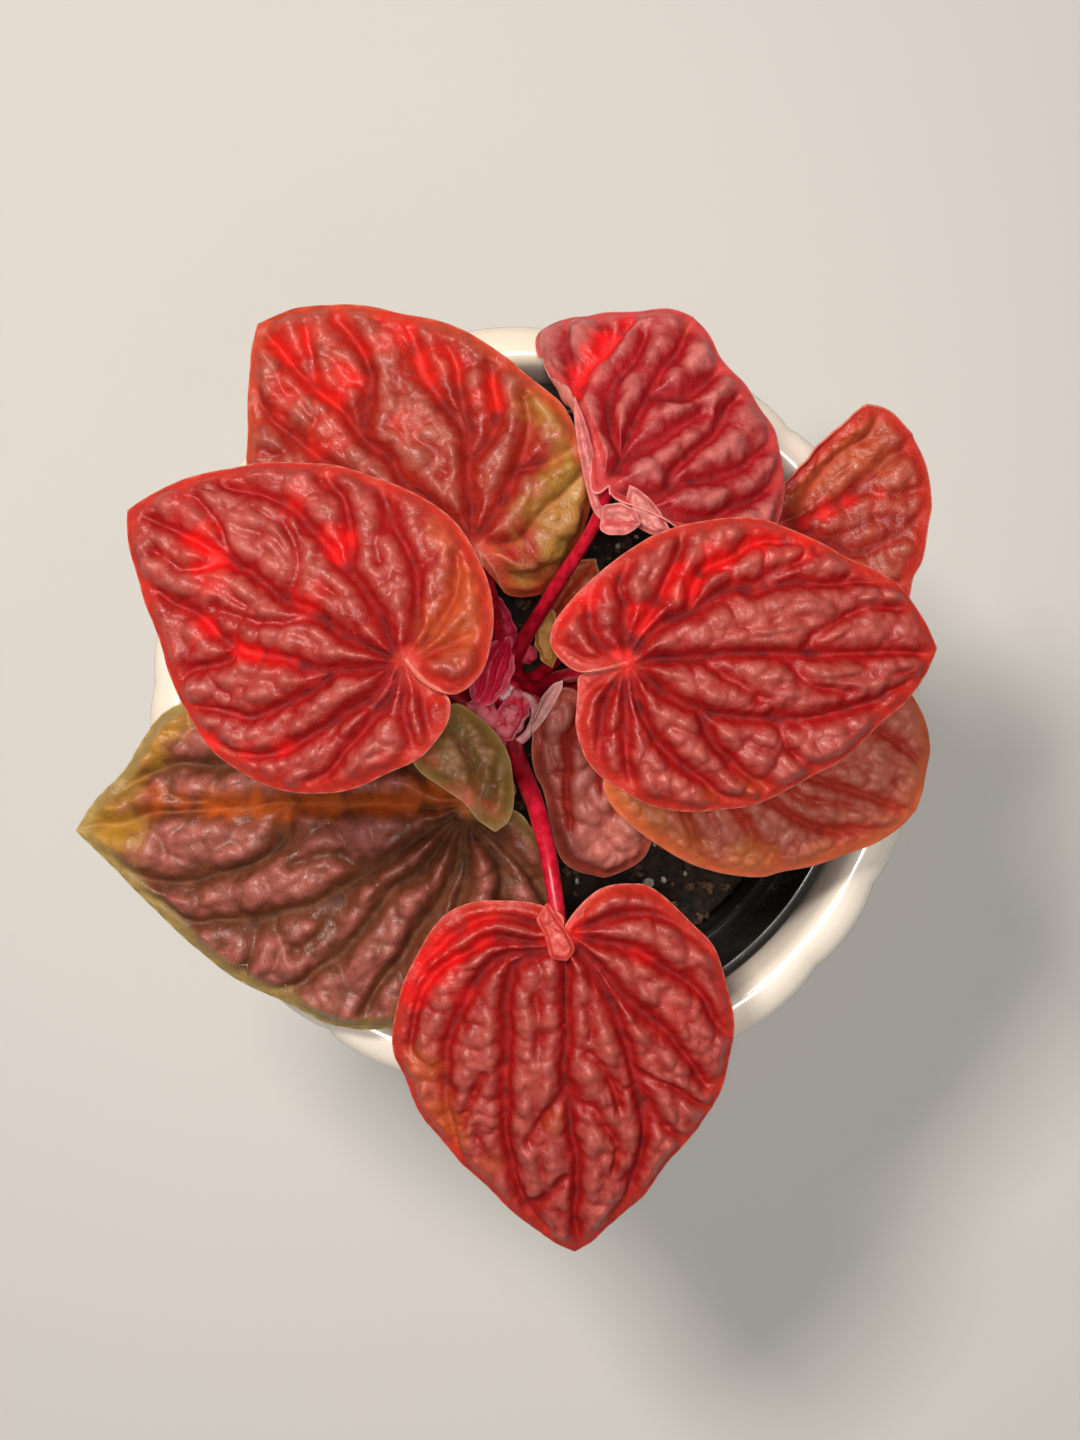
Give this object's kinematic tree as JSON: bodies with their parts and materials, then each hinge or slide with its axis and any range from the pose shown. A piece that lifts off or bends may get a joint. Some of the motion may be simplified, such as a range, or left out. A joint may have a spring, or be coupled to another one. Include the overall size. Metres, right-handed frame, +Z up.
{
  "type": "potted ripple peperomia",
  "caption": "Red ripple-leaved peperomia in a black nursery pot, standing in a cream ceramic cover pot with a scalloped rim.",
  "frame": {"origin": "centre of the cover pot's flat base, on the surface it stands on", "axes": "+Z up; -Y towards the heart-shaped front leaf, which is the bottom of the picture; +X to the right of the picture"},
  "size_m": [0.1363, 0.1487, 0.149],
  "materials": {
    "glazed_ceramic": "cream glaze, satin to glossy",
    "black_plastic": "thin black moulded plastic, glossy",
    "potting_soil": "dark peat with pale mineral grains",
    "leaf_red": "rippled waxy leaf, red with dusty pink bumps",
    "leaf_orange": "rippled waxy leaf, red to orange and yellow-green",
    "leaf_olive": "older rippled leaf, olive brown with a yellow-green edge",
    "petiole_red": "smooth glossy magenta-red stalk",
    "young_pink": "young pink leaf with pale edges",
    "dried_leaf": "dry crumpled brown leaf"
  },
  "bodies": {
    "root": {"cover_pot": "glazed_ceramic", "nursery_pot": "black_plastic", "soil": "potting_soil", "crown_stem": "petiole_red", "blade_front": "leaf_red", "petiole_front": "petiole_red", "blade_left": "leaf_red", "petiole_left": "petiole_red", "blade_back_left": "leaf_orange", "petiole_back_left": "petiole_red", "blade_back": "leaf_red", "petiole_back": "petiole_red", "blade_far_right": "leaf_orange", "petiole_far_right": "petiole_red", "blade_right": "leaf_red", "petiole_right": "petiole_red", "blade_lower_right": "leaf_orange", "petiole_lower_right": "petiole_red", "blade_inner": "leaf_red", "petiole_inner": "petiole_red", "blade_old_left": "leaf_olive", "petiole_old_left": "petiole_red", "young_folded": "young_pink", "young_bumpy": "young_pink", "young_curled": "young_pink", "bud_back": "young_pink", "bud_side": "young_pink", "bud_front": "young_pink", "dried_blade": "dried_leaf", "dried_petiole": "dried_leaf"}
  },
  "joints": []
}
